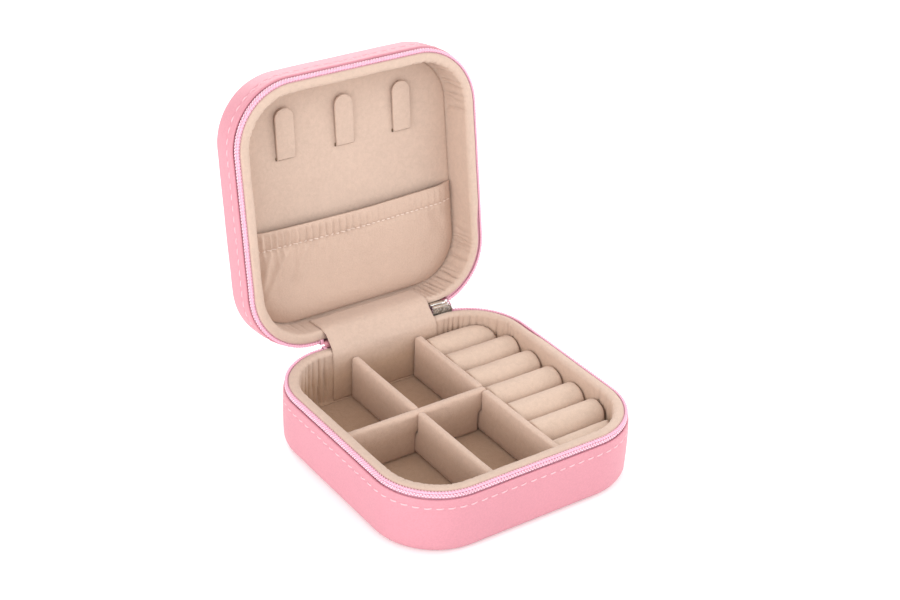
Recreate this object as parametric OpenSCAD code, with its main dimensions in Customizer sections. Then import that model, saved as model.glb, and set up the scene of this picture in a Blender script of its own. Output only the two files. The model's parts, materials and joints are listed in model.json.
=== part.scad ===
// Travel jewelry case: a small square leather-covered zip case, standing open.
// Millimetres. +Z up, front of the case towards -Y, hinge at the back (+Y).
// Origin: centre of the base's underside. The base closes at z = base_h.

/* [Case] */
case_w = 100;        // width along X
case_d = 100;        // depth along Y
corner_r = 24;       // outer corner radius
base_h = 25;         // underside to parting plane
lid_h = 17;          // parting plane to top when closed
open_deg = 99;       // how far the lid stands open

/* [Walls, measured inwards from the outer face] */
leather_t = 1;       // cover
edge_r = 4;          // soft lower edge of the cover
band = 3.3;          // leather edge to parting plane: the zip band
tape_t = 0.5;        // zip tape
board_in = 3;        // stiff board ends here
wall_in = 5.5;       // padded lining ends here
rim_r = 1.3;         // rolled rim

/* [Zip] */
coil_out = 0.45;     // coil, outer side
coil_w = 1.3;
coil_h = 1.25;
coil_gap = 0.45;     // coil top to parting plane
hinge_w = 45;        // width of the leather hinge and of its lining strip
slider_len = 8.4;
slider_high = 6;
slider_turn = 3.2;   // where the slider is parked, degrees round the corner
lid_zip_turn = 16;   // where the lid's coil starts, degrees round the corner

/* [Inside the base] */
floor_t = 3;         // cover plus board
cloth_t = 0.6;       // floor lining
divider_t = 3;
divider_top = 21.2;
long_x = -14;        // long divider
side_x = 13.3;       // divider beside the ring rolls
cross_y = 2;         // cross divider
roll_n = 7;          // ring rolls
roll_r = 6.15;
roll_z = 14.4;       // roll axis above the underside

/* [Inside the lid] */
panel_t = 0.8;
pocket_y = 6;        // mouth of the pocket, closed-lid coordinate
pocket_t = 0.7;
tab_w = 7.4;
tab_len = 18.4;
tab_t = 0.9;
tab_x = 24.3;        // spacing of the three tabs
tab_root_y = -18.2;

/* [Quality] */
$fn = 96;

/* [Hidden] */
hx = case_w / 2;
hy = case_d / 2;
closed_h = base_h + lid_h;
hs = hinge_w / 2;
pink = [0.95, 0.67, 0.72];
tape_pink = [1, 0.72, 0.85];
beige = [0.89, 0.78, 0.71];
board_grey = [0.62, 0.58, 0.52];
steel = [0.75, 0.75, 0.76];

function arc(cx, cy, r, a0, a1, n) =
    [for (i = [0:n]) let (a = a0 + (a1 - a0) * i / n) [cx + r * cos(a), cy + r * sin(a)]];

// Turns something from its closed-lid place to the open one.
module opened() {
    translate([0, hy, base_h]) rotate([-open_deg, 0, 0]) translate([0, -hy, -base_h]) children();
}
// Lid pieces are drawn like base pieces, upside down, then flipped on top.
module in_lid() {
    opened() translate([0, 0, closed_h]) mirror([0, 0, 1]) children();
}

// One corner of a wall. q: 0 = back right, then anticlockwise. from, to: degrees.
module corner(q, from = 0, to = 90) {
    sx = (q == 0 || q == 3) ? 1 : -1;
    sy = (q == 0 || q == 1) ? 1 : -1;
    translate([sx * (hx - corner_r), sy * (hy - corner_r), 0]) rotate([0, 0, 90 * q + from])
        rotate_extrude(angle = to - from) translate([corner_r, 0]) mirror([1, 0]) children();
}
// One straight of a wall. q: 0 = right, 1 = back, 2 = left, 3 = front. a, b: its ends.
module straight(q, a, b) {
    rotate([0, 0, 90 * q]) translate([(q % 2 == 0) ? hx : hy, b, 0]) rotate([90, 0, 0])
        linear_extrude(height = b - a) mirror([1, 0]) children();
}
// A closed wall whose section is drawn as [distance inwards, height].
module wall() {
    for (q = [0:3]) {
        e = (q % 2 == 0) ? hy - corner_r : hx - corner_r;
        corner(q) children();
        straight(q, -e, e) children();
    }
}
// The same wall with the hinge's width left out of the back; start is where the
// coil begins past the back right corner's own start, in degrees.
module zip_wall(start = 0) {
    ex = hx - corner_r;
    ey = hy - corner_r;
    corner(0, 0, 90 - start) children();
    for (q = [1:3]) corner(q) children();
    for (q = [0, 2]) straight(q, -ey, ey) children();
    straight(3, -ex, ex) children();
    straight(1, hs, ex) children();
    if (start == 0) straight(1, -ex, -hs) children();
}
// A flat plate with rounded corners, its edge a given distance inwards.
module plate(inset, z0, z1) {
    x = hx - inset;
    y = hy - inset;
    r = corner_r - inset;
    translate([-x, -y + r, z0]) cube([2 * x, 2 * (y - r), z1 - z0]);
    translate([-x + r, -y, z0]) cube([2 * (x - r), 2 * y, z1 - z0]);
    for (sx = [-1, 1]) for (sy = [-1, 1])
        translate([sx * (x - r), sy * (y - r), z0]) cylinder(r = r, h = z1 - z0);
}

// Sections shared by base and lid; h is the height of that half.
module leather_section(h) {
    polygon(concat([[leather_t, h - band], [0, h - band]], arc(edge_r, edge_r, edge_r, 180, 270, 6),
        [[8, 0], [8, leather_t]], arc(edge_r, edge_r, edge_r - leather_t, 270, 180, 6)));
}
module board_section(h) {
    t = leather_t + tape_t;
    polygon(concat(arc(edge_r, edge_r, edge_r - leather_t, 180, 270, 6),
        [[edge_r, floor_t], [board_in, floor_t], [board_in, h - band], [t, h - band],
         [t, h - 8], [leather_t, h - 8]]));
}
module lining_section(h, low) {
    translate([board_in, low]) square([wall_in - board_in, h - band - low]);
}
module rim_section(h) {
    c = wall_in - rim_r;
    polygon(concat([[board_in, h - band], [wall_in, h - band]],
        arc(c, h - 0.1 - rim_r, rim_r, 0, 180, 12), [[board_in, h - 0.1 - rim_r]]));
}
module tape_section(h) {
    translate([leather_t, h - 8]) square([tape_t, 8 - coil_gap - coil_h]);
}
module coil_section(h) {
    z = h - coil_gap - coil_h;
    c = 0.35;
    translate([coil_out, z]) polygon([[c, 0], [coil_w - c, 0], [coil_w, c], [coil_w, coil_h - c],
        [coil_w - c, coil_h], [c, coil_h], [0, coil_h - c], [0, c]]);
}
// A staple squeezed over the last of the coil and its tape, just clear of the hinge.
stop_t = 0.3;
module top_stop(h) {
    z = h - coil_gap - coil_h;
    translate([-hs - 1.45, hy - coil_out - coil_w - stop_t, z - 1.2]) difference() {
        cube([1.4, coil_w + 2 * stop_t, coil_h + 1.2 + 0.2]);
        translate([-1, stop_t, 1.2]) cube([4, coil_w, coil_h]);
        translate([-1, stop_t + coil_w + coil_out - leather_t - tape_t, -1])
            cube([4, tape_t, 3]);
    }
}

// ---- base ----
module base_leather() color(pink) wall() leather_section(base_h);
module base_underside() color(pink) plate(8, 0, leather_t);
module base_board() color(board_grey) wall() board_section(base_h);
module base_floor_board() color(board_grey) plate(edge_r, leather_t, floor_t);
module base_lining() color(beige) wall() lining_section(base_h, floor_t + cloth_t);
module base_floor_lining() color(beige) plate(board_in, floor_t, floor_t + cloth_t);
module base_rim_roll() color(beige) wall() rim_section(base_h);
module base_zip_tape() color(tape_pink) zip_wall() tape_section(base_h);
module base_zip_coil() color(tape_pink) zip_wall() coil_section(base_h);
module base_top_stop() color(tape_pink) top_stop(base_h);

// ---- dividers: three boards slotted into each other ----
div_low = floor_t + cloth_t + 0.1;
div_mid = (div_low + divider_top) / 2;
slot = divider_t + 0.3;
module board_y(x, y0, y1) {
    r = divider_t / 2;
    translate([x - r, y0, div_low]) cube([divider_t, y1 - y0, divider_top - r - div_low]);
    translate([x, y1, divider_top - r]) rotate([90, 0, 0]) cylinder(r = r, h = y1 - y0);
}
module slotted(x) difference() {
    board_y(x, -hy + wall_in + 0.3, hy - wall_in - 0.9);
    translate([x - 4, cross_y - slot / 2, div_mid]) cube([8, slot, 20]);
}
module long_divider() color(beige) slotted(long_x);
module side_divider() color(beige) slotted(side_x);
module cross_divider() color(beige) {
    x0 = -hx + wall_in + 0.3;
    x1 = side_x + divider_t / 2;
    r = divider_t / 2;
    difference() {
        union() {
            translate([x0, cross_y - r, div_low]) cube([x1 - x0, divider_t, divider_top - r - div_low]);
            translate([x0, cross_y, divider_top - r]) rotate([0, 90, 0]) cylinder(r = r, h = x1 - x0);
        }
        for (x = [long_x, side_x])
            translate([x - slot / 2, cross_y - 4, div_low - 5]) cube([slot, 8, div_mid - div_low + 5]);
    }
}

// ---- ring rolls: foam bars wrapped in cloth, standing on their own board ----
roll_x0 = side_x + divider_t / 2 + 0.4;
roll_x1 = hx - wall_in - 0.9;
roll_low = floor_t + cloth_t + 2;
module ring_room(z0, z1) intersection() {
    plate(wall_in + 0.8, z0, z1);
    translate([roll_x0, -hy, z0 - 1]) cube([roll_x1 - roll_x0, case_d, z1 - z0 + 2]);
}
module ring_pad_board() color(board_grey) ring_room(floor_t + cloth_t, roll_low);
module roll(i) intersection() {
    ring_room(roll_low, roll_z + roll_r + 1);
    translate([0, (i - (roll_n + 1) / 2) * -(case_d - 2 * wall_in) / roll_n, 0]) {
        translate([0, 0, roll_z]) rotate([0, 90, 0]) cylinder(r = roll_r, h = hx);
        translate([0, -roll_r, roll_low]) cube([hx, 2 * roll_r, roll_z - roll_low]);
    }
}
module ring_roll_1() color(beige) roll(1);
module ring_roll_2() color(beige) roll(2);
module ring_roll_3() color(beige) roll(3);
module ring_roll_4() color(beige) roll(4);
module ring_roll_5() color(beige) roll(5);
module ring_roll_6() color(beige) roll(6);
module ring_roll_7() color(beige) roll(7);

// ---- lid ----
module lid_leather() color(pink) in_lid() wall() leather_section(lid_h);
module lid_top_cover() color(pink) in_lid() plate(8, 0, leather_t);
module lid_board() color(board_grey) in_lid() wall() board_section(lid_h);
module lid_top_board() color(board_grey) in_lid() plate(edge_r, leather_t, floor_t);
module lid_lining() color(beige) in_lid() wall() lining_section(lid_h, floor_t);
// The rim is hollowed beside the hinge to let the parked slider pass.
module lid_rim_roll() color(beige) in_lid() difference() {
    wall() rim_section(lid_h);
    translate([hs, hy, lid_h]) rotate([0, 90, 0]) cylinder(r = 4.2, h = slider_len + 2);
}
module lid_zip_tape() color(tape_pink) in_lid() zip_wall(lid_zip_turn) tape_section(lid_h);
module lid_zip_coil() color(tape_pink) in_lid() zip_wall(lid_zip_turn) coil_section(lid_h);
module lid_top_stop() color(tape_pink) in_lid() top_stop(lid_h);

panel_z = floor_t + panel_t;     // face of the panel, from the lid's top
slit_w = 1.2;
module lid_panel() color(beige) in_lid() difference() {
    plate(wall_in + 0.1, floor_t, panel_z);
    for (i = [-1:1]) translate([i * tab_x - tab_w / 2 - 0.3, tab_root_y - slit_w / 2, 0])
        cube([tab_w + 0.6, slit_w, 10]);
}
// Tabs: a rounded tongue that leaves its slit, leans off the panel and can be bent away.
tab_z = panel_z + 0.1 + tab_t / 2;
module tab(i) in_lid() translate([i * tab_x, tab_root_y, tab_z]) rotate([-3, 0, 0]) {
    r = tab_w / 2;
    translate([-r, r - tab_len, -tab_t / 2]) cube([tab_w, tab_len - r, tab_t]);
    translate([0, r - tab_len, -tab_t / 2]) cylinder(r = r, h = tab_t);
    translate([-r, 0, 0]) rotate([0, 90, 0]) cylinder(r = tab_t / 2, h = tab_w);
}
module necklace_tab_1() color(beige) tab(-1);
module necklace_tab_2() color(beige) tab(0);
module necklace_tab_3() color(beige) tab(1);
// The pocket lies on the panel at the hinge side and stands off it at its mouth.
module pocket_slab(y0, y1, z0, z1) intersection() {
    plate(wall_in + 0.15, panel_z + 0.05, panel_z + 9);
    translate([-hx, hy - 5.7, panel_z + 0.1]) rotate([-3.8, 0, 0])
        translate([0, y0 - (hy - 5.7), z0]) cube([case_w, y1 - y0, z1 - z0]);
}
module lid_pocket() color(beige) in_lid() pocket_slab(pocket_y, hy, 0, pocket_t);
module pocket_elastic() color(beige) in_lid() pocket_slab(pocket_y + 0.6, pocket_y + 5.6, -0.6, 0);

// ---- hinge ----
// Both hinge pieces are sections in [Y, Z] drawn across the hinge's width.
module across_hinge() translate([-hs, 0, 0]) rotate([90, 0, 90]) linear_extrude(height = hinge_w) children();
away = [sin(open_deg), cos(open_deg)];   // from the hinge up the opened lid's wall
module hinge_leather() color(pink) across_hinge() {
    axis = [hy, base_h];
    side = 180 - open_deg;
    polygon(concat([axis, axis - [0, band], axis - [leather_t, band]],
        arc(hy, base_h, leather_t, 180, side, 12),
        [axis + leather_t * [cos(side), sin(side)] + band * away, axis + band * away]));
}
// Cloth strip from inside the base, over both rims, to inside the lid. It is also the stay.
strip_t = 0.5;
strip_y = hy - wall_in + rim_r;
strip_z = base_h - 0.1 - rim_r;
strip_ly = hy + (strip_y - hy) * cos(open_deg) + (base_h - strip_z) * sin(open_deg);
strip_lz = base_h - (strip_y - hy) * sin(open_deg) + (base_h - strip_z) * cos(open_deg);
module hinge_lining() color(beige) across_hinge() {
    mid = 180 - open_deg / 2;
    side = 180 - open_deg;
    r = rim_r + strip_t;
    l = [strip_ly, strip_lz];
    polygon(concat([[strip_y - rim_r, 8]], arc(strip_y, strip_z, rim_r, 180, mid, 6),
        arc(l[0], l[1], rim_r, mid, side, 6),
        [l + rim_r * [cos(side), sin(side)] + 8 * away, l + r * [cos(side), sin(side)] + 8 * away],
        arc(l[0], l[1], r, side, mid, 6), arc(strip_y, strip_z, r, mid, 180, 6),
        [[strip_y - r, 8]]));
}

// ---- zip slider, parked at the hinge's right end; local x is its way along the zip ----
module at_slider() {
    translate([hx - corner_r, hy - corner_r, base_h]) rotate([0, 0, -slider_turn])
        translate([0, corner_r, 0]) children();
}
sl = slider_len / 2;
sw = slider_high / 2;
module slider_plate(y0, y1) translate([0, y1, 0]) rotate([90, 0, 0]) {
    translate([-sl, -sw, 0]) cube([slider_len - sw, slider_high, y1 - y0]);
    translate([sl - sw, 0, 0]) cylinder(r = sw, h = y1 - y0);
}
module slider_body() color(steel) at_slider() difference() {
    union() {
        slider_plate(0.05, 0.8);
        slider_plate(-2.75, -2.2);
        for (z = [-sw, sw - 0.55]) {
            translate([-sl, -0.55, z]) cube([slider_len - sw, 0.7, 0.55]);
            translate([-sl, -2.3, z]) cube([slider_len - sw, 0.36, 0.55]);
        }
        translate([1.4, -2.3, -0.35]) cube([2.4, 2.5, 0.7]);
    }
    translate([-sl + 1.3, 0, -1.7]) rotate([90, 0, 0]) cylinder(r = 0.45, h = 5);
}
bar_y = 1.9;
module slider_bridge() color(steel) at_slider() {
    translate([-2.2, bar_y, 0]) rotate([0, 90, 0]) cylinder(r = 0.5, h = 4.4);
    for (x = [-2.6, 1.8]) translate([x, 0.8, -0.5]) cube([0.8, bar_y - 0.3, 1]);
}
module slider_pull() color(steel) at_slider() difference() {
    union() {
        translate([-1.6, bar_y, 0]) rotate([0, 90, 0]) cylinder(r = 0.95, h = 3.2);
        translate([-1.3, bar_y - 0.4, -5]) cube([2.6, 0.8, 5]);
        translate([-3, bar_y - 0.4, -17]) cube([6, 0.8, 12.5]);
        translate([0, bar_y + 0.4, -17]) rotate([90, 0, 0]) cylinder(r = 3, h = 0.8);
    }
    translate([-5, bar_y, 0]) rotate([0, 90, 0]) cylinder(r = 0.58, h = 10);
    translate([0, bar_y + 1, -16.6]) rotate([90, 0, 0]) cylinder(r = 1.5, h = 3);
}
// Short end of the tape between the slider's nose and the lid's coil.
module zip_lead_in() color(tape_pink) {
    a = [31.85, 48.9, 25.45];
    b = [31.75, 51.2, 26.75];
    d = b - a;
    translate(a) rotate([0, acos(d[2] / norm(d)), atan2(d[1], d[0])]) cylinder(r = 0.35, h = norm(d));
}

base_leather();
base_underside();
base_board();
base_floor_board();
base_lining();
base_floor_lining();
base_rim_roll();
base_zip_tape();
base_zip_coil();
base_top_stop();
long_divider();
side_divider();
cross_divider();
ring_pad_board();
ring_roll_1();
ring_roll_2();
ring_roll_3();
ring_roll_4();
ring_roll_5();
ring_roll_6();
ring_roll_7();
lid_leather();
lid_top_cover();
lid_board();
lid_top_board();
lid_lining();
lid_rim_roll();
lid_zip_tape();
lid_zip_coil();
lid_top_stop();
lid_panel();
lid_pocket();
pocket_elastic();
necklace_tab_1();
necklace_tab_2();
necklace_tab_3();
hinge_leather();
hinge_lining();
zip_lead_in();
slider_body();
slider_bridge();
slider_pull();
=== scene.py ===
"""Looks of the travel jewelry case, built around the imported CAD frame. Sizes below are millimetres
in the row frame unless they say otherwise; meshes are written in metres."""
import json
import math
import random

import bmesh
import bpy
from mathutils import Matrix, Vector, noise


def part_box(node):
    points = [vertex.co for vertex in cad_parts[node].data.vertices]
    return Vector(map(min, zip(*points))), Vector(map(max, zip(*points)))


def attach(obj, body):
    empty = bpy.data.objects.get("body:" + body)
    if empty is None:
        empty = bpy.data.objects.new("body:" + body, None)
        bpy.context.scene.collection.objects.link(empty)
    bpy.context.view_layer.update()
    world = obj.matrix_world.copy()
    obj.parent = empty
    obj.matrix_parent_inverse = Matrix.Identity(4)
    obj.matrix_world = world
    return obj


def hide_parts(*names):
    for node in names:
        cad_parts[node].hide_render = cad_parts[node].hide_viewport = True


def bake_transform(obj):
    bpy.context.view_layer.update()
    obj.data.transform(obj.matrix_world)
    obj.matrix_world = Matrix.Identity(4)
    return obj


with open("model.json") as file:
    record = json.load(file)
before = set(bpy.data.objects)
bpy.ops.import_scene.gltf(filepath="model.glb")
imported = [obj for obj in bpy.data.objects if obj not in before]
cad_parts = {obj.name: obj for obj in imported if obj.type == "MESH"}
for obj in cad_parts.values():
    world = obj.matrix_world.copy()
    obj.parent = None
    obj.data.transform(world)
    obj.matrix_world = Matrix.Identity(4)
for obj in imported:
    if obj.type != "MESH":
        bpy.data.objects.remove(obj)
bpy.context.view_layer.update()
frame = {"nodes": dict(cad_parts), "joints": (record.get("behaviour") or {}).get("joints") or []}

MM = 0.001
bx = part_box("base_leather")
HX, HY = bx[1].x / MM, bx[1].y / MM               # half width, half depth
hinge = next(j for j in frame["joints"] if j["name"] == "lid_hinge")
BH = hinge["pos_m"][2] / MM                       # parting plane above the underside
OPEN = math.radians(-hinge["range_deg"][0])       # how far the lid stands open
BAND = BH - bx[1].z / MM                          # leather edge to parting plane
R = 24.0                                          # outer corner radius
LH = 17.0                                         # lid's height
LEATHER = 1.0                                     # leather's thickness
SOFT_EDGE = 4.0                                   # radius of the leather's edge at floor and top
STITCH_DROP = 3.3                                 # stitches, below the leather's edge
COIL_PITCH = 1.15                                 # length of one zip tooth
COIL_INSET = 1.10                                 # coil's middle, from the outer face
SLIDER_FROM = 38                                  # start of the slider's run, along the boundary
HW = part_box("hinge_leather")[1].x / MM            # half the hinge's width
WALL = 5.5                                        # inner face of the padded wall
D_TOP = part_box("long_divider")[1].z / MM          # dividers' upper edge
PERIM = 4 * (2 * (HX - R)) + 2 * math.pi * R
STRAIGHT, ARC = 2 * (HX - R), math.pi * R / 2
S_BACK = STRAIGHT + ARC                           # where the back straight starts
S_HR, S_HL = S_BACK + (HX - R - HW), S_BACK + (HX - R + HW)   # the hinge's right and left ends
rnd = random.Random(7)

# ---- places
OPENED = (Matrix.Translation((0, HY, BH)) @ Matrix.Rotation(-OPEN, 4, "X")
          @ Matrix.Translation((0, -HY, -BH)))
LID = OPENED @ Matrix.Translation((0, 0, BH + LH)) @ Matrix.Diagonal((1, 1, -1, 1))


def at(s):
    """Point on the outer boundary and its outward normal, s mm along it, from the right side's front end."""
    s = s % PERIM
    q, u = int(s // (STRAIGHT + ARC)), s % (STRAIGHT + ARC)
    a = q * math.pi / 2
    if u <= STRAIGHT:
        p, n = Vector((HX, u - STRAIGHT / 2)), Vector((1, 0))
    else:
        t = (u - STRAIGHT) / R
        n = Vector((math.cos(t), math.sin(t)))
        p = Vector((HX - R, HY - R)) + R * n
    c, w = math.cos(a), math.sin(a)
    return (Vector((c * p.x - w * p.y, w * p.x + c * p.y)), Vector((c * n.x - w * n.y, w * n.x + c * n.y)))


def make(name, verts, faces, lid=False):
    """A smooth mesh from points in mm; lid=True takes them from the lid's own upside-down place."""
    m = LID if lid else Matrix.Identity(4)
    me = bpy.data.meshes.new(name)
    me.from_pydata([tuple(m @ Vector(v) * MM) for v in verts], [], faces)
    bm = bmesh.new()
    bm.from_mesh(me)
    bmesh.ops.recalc_face_normals(bm, faces=bm.faces)
    bm.to_mesh(me)
    bm.free()
    return smooth_object(name, me)


def smooth_object(name, me):
    for p in me.polygons:
        p.use_smooth = True
    o = bpy.data.objects.new(name, me)
    bpy.context.scene.collection.objects.link(o)
    return o


def stations(s0=None, s1=None, step=1.0):
    """Evenly spaced places along the boundary, or along a stretch of it."""
    if s0 is None:
        s0, s1 = 0.0, PERIM
    n = max(2, int(round((s1 - s0) / step)))
    return [s0 + (s1 - s0) * i / n for i in range(n + 1)]


def ring(name, section, s0=None, s1=None, step=1.0, closed=True, move=None, lid=False):
    """Sweeps a section of (inset, height) points round the case. A ring with ends is capped there;
    an open section on a full ring is capped by a flat face at each end."""
    ss = stations(s0, s1, step)
    full = s0 is None
    if full:
        ss = ss[:-1]
    n, k = len(ss), len(section)
    verts, faces = [], []
    for s in ss:
        p, nn = at(s)
        for i, (a, z) in enumerate(section):
            da, dz = move(s % PERIM, i, a, z) if move else (0, 0)
            q = p - (a + da) * nn
            verts.append((q.x, q.y, z + dz))
    for j in range(n if full else n - 1):
        b, c = j * k, ((j + 1) % n) * k
        for i in range(k if closed else k - 1):
            faces.append((b + i, b + (i + 1) % k, c + (i + 1) % k, c + i))
    if not full:
        faces += [tuple(range(k)), tuple(range((n - 1) * k, n * k))]
    elif not closed:
        faces += [tuple(j * k for j in range(n)), tuple(j * k + k - 1 for j in range(n))]
    return make(name, verts, faces, lid)


def on_arc(cx, cy, r, degrees, ry=None):
    a = math.radians(degrees)
    return (cx + r * math.cos(a), cy + (r if ry is None else ry) * math.sin(a))


def arc(cx, cy, r, a0, a1, n, ry=None):
    """n + 1 points from a0 to a1 degrees."""
    return [on_arc(cx, cy, r, a0 + (a1 - a0) * i / n, ry) for i in range(n + 1)]


def skin(sections, k, base=0):
    """Faces over sections of k points each, closed round each section and capped at both ends."""
    faces = []
    for j in range(sections - 1):
        for q in range(k):
            a, b = base + j * k + q, base + j * k + (q + 1) % k
            faces.append((a, b, b + k, a + k))
    last = base + (sections - 1) * k
    return faces + [tuple(range(base, base + k)), tuple(range(last, last + k))]


def wob(x, y, z, size, seed=0.0):
    """Smooth noise, about -1 to 1, with features about size mm across."""
    return noise.noise(Vector((x / size + seed, y / size - seed, z / size + 2 * seed)))


def smoothstep(a, b, x):
    t = min(1.0, max(0.0, (x - a) / (b - a)))
    return t * t * (3 - 2 * t)


def thread(points, radius, sides=6, base=0):
    """Points and faces of a round thread along points, mm."""
    verts = []
    n = len(points)
    for i, p in enumerate(points):
        t = (points[min(i + 1, n - 1)] - points[max(i - 1, 0)]).normalized()
        ref = Vector((0, 0, 1)) if abs(t.z) < 0.9 else Vector((1, 0, 0))
        u = t.cross(ref).normalized()
        v = t.cross(u)
        for k in range(sides):
            a = 2 * math.pi * k / sides
            verts.append(p + radius * (math.cos(a) * u + math.sin(a) * v))
    return verts, skin(n, sides, base)


def add_thread(parts, points, radius, sides=6):
    """Adds a thread to the (points, faces) of a piece that is made of many."""
    verts, faces = thread(points, radius, sides, len(parts[0]))
    parts[0].extend(verts)
    parts[1].extend(faces)


# ---- materials
def material(name, colour, rough, build, metallic=0.0, sheen=0.0, spec=0.5):
    """A Principled material whose nodes are added by build(tree, shader)."""
    m = bpy.data.materials.new(name)
    m.use_nodes = True
    nt = m.node_tree
    b = nt.nodes["Principled BSDF"]
    b.inputs["Base Color"].default_value = (*colour, 1)
    b.inputs["Roughness"].default_value = rough
    b.inputs["Metallic"].default_value = metallic
    b.inputs["Sheen Weight"].default_value = sheen
    b.inputs["Sheen Roughness"].default_value = 0.5
    b.inputs["Specular IOR Level"].default_value = spec
    build(nt, b)
    return m


def coords(nt):
    return nt.nodes.new("ShaderNodeTexCoord").outputs["Object"]


def noise_tex(nt, vec, scale, detail=2.0, rough=0.5, distort=0.0):
    n = nt.nodes.new("ShaderNodeTexNoise")
    nt.links.new(vec, n.inputs["Vector"])
    n.inputs["Scale"].default_value = scale
    n.inputs["Detail"].default_value = detail
    n.inputs["Roughness"].default_value = rough
    n.inputs["Distortion"].default_value = distort
    return n.outputs["Fac"]


def spread(nt, fac, base, first, last, low=0.3, high=0.7):
    """The base colour, from first to last times as bright while fac goes from low to high."""
    return ramp(nt, fac, [(low, scaled(base, first)), (high, scaled(base, last))])


def voronoi(nt, vec, scale):
    """Distance to the nearest of many cell centres."""
    vor = nt.nodes.new("ShaderNodeTexVoronoi")
    vor.inputs["Scale"].default_value = scale
    nt.links.new(vec, vor.inputs["Vector"])
    return vor.outputs["Distance"]


def ramp(nt, fac, stops):
    r = nt.nodes.new("ShaderNodeValToRGB")
    nt.links.new(fac, r.inputs["Fac"])
    e = r.color_ramp.elements
    while len(e) < len(stops):
        e.new(0.5)
    for el, (pos, col) in zip(e, stops):
        el.position = pos
        el.color = (*col, 1)
    return r.outputs["Color"]


def mix(nt, fac, a, b, mode="MIX"):
    n = nt.nodes.new("ShaderNodeMix")
    n.data_type = "RGBA"
    n.blend_type = mode
    for key, v in ((0, fac), (6, a), (7, b)):
        if isinstance(v, (int, float)):
            n.inputs[key].default_value = v
        elif isinstance(v, tuple):
            n.inputs[key].default_value = (*v, 1)
        else:
            nt.links.new(v, n.inputs[key])
    return n.outputs[2]


def bump(nt, b, height, strength, dist, prev=None):
    n = nt.nodes.new("ShaderNodeBump")
    n.inputs["Strength"].default_value = strength
    n.inputs["Distance"].default_value = dist
    nt.links.new(height, n.inputs["Height"])
    if prev is not None:
        nt.links.new(prev, n.inputs["Normal"])
    nt.links.new(n.outputs["Normal"], b.inputs["Normal"])
    return n.outputs["Normal"]


def scaled(c, k):
    return tuple(min(1.0, v * k) for v in c)


def suede(base, strength=1.0, painted_shade=None):
    """Short-napped cloth. The optional colour is painted shade: the duller, darker colour the cloth is given
    down in the case, below the rim, where less light reaches.
    """
    def build(nt, b):
        v = coords(nt)
        broad = noise_tex(nt, v, 90, 3, 0.6)
        mid = noise_tex(nt, v, 600, 3, 0.6, 0.4)
        fine = noise_tex(nt, v, 5200, 2, 0.7)
        c = mix(nt, 0.5, spread(nt, broad, base, 0.94, 1.05), spread(nt, mid, base, 0.87, 1.11, 0.35, 0.65))
        c = mix(nt, 0.42, c, spread(nt, fine, base, 0.76, 1.18))
        # painted shade: the colour darkens and warms with depth, from 1.5 mm to 11 mm below the rim
        if painted_shade:
            axes = nt.nodes.new("ShaderNodeSeparateXYZ")
            nt.links.new(v, axes.inputs[0])
            depth = nt.nodes.new("ShaderNodeMapRange")
            depth.inputs["From Min"].default_value = (BH - 1.5) * MM
            depth.inputs["From Max"].default_value = (BH - 11) * MM
            nt.links.new(axes.outputs["Z"], depth.inputs["Value"])
            shade_tint = tuple(d / k for d, k in zip(painted_shade, base))
            shade = mix(nt, depth.outputs[0], (1.0, 1.0, 1.0), shade_tint)
            c = mix(nt, 1.0, c, shade, "MULTIPLY")
        nt.links.new(c, b.inputs["Base Color"])
        n = bump(nt, b, fine, 0.34 * strength, 0.00014)
        bump(nt, b, mid, 0.34 * strength, 0.0005, n)
    return build


def leather(base):
    """Smooth leather with a fine pebbled grain of uneven cells."""
    def build(nt, b):
        v = coords(nt)
        warp = nt.nodes.new("ShaderNodeVectorMath")
        warp.operation = "MULTIPLY_ADD"
        wn = nt.nodes.new("ShaderNodeTexNoise")
        wn.inputs["Scale"].default_value = 420
        nt.links.new(v, wn.inputs["Vector"])
        nt.links.new(wn.outputs["Color"], warp.inputs[0])
        warp.inputs[1].default_value = (0.0011, 0.0011, 0.0011)
        nt.links.new(v, warp.inputs[2])
        cells = voronoi(nt, warp.outputs[0], 1500)
        broad = noise_tex(nt, v, 45, 3, 0.55)
        fine = noise_tex(nt, v, 3200, 3, 0.6)
        grain = spread(nt, cells, base, 1.07, 0.86, 0.1, 0.75)
        c = mix(nt, 0.35, spread(nt, broad, base, 0.965, 1.03), grain)
        nt.links.new(c, b.inputs["Base Color"])
        rr = ramp(nt, fine, [(0.3, (0.46, 0.46, 0.46)), (0.7, (0.60, 0.60, 0.60))])
        nt.links.new(rr, b.inputs["Roughness"])
        height = nt.nodes.new("ShaderNodeMath")
        height.operation = "SUBTRACT"
        height.inputs[0].default_value = 1.0
        nt.links.new(cells, height.inputs[1])
        n = bump(nt, b, height.outputs[0], 0.30, 0.00016)
        bump(nt, b, fine, 0.12, 0.0001, n)
    return build


def fine_grain(base):
    """Thin lining cloth with a fine pebbled grain."""
    def build(nt, b):
        v = coords(nt)
        cells = voronoi(nt, v, 1900)
        broad = noise_tex(nt, v, 110, 3, 0.6)
        fine = noise_tex(nt, v, 3800, 2, 0.6)
        c = mix(nt, 0.5, spread(nt, broad, base, 0.95, 1.04), spread(nt, fine, base, 0.80, 1.14))
        nt.links.new(c, b.inputs["Base Color"])
        n = bump(nt, b, cells, 0.30, 0.00018)
        bump(nt, b, noise_tex(nt, v, 420, 3, 0.6, 0.8), 0.35, 0.0007, n)
    return build


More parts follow.
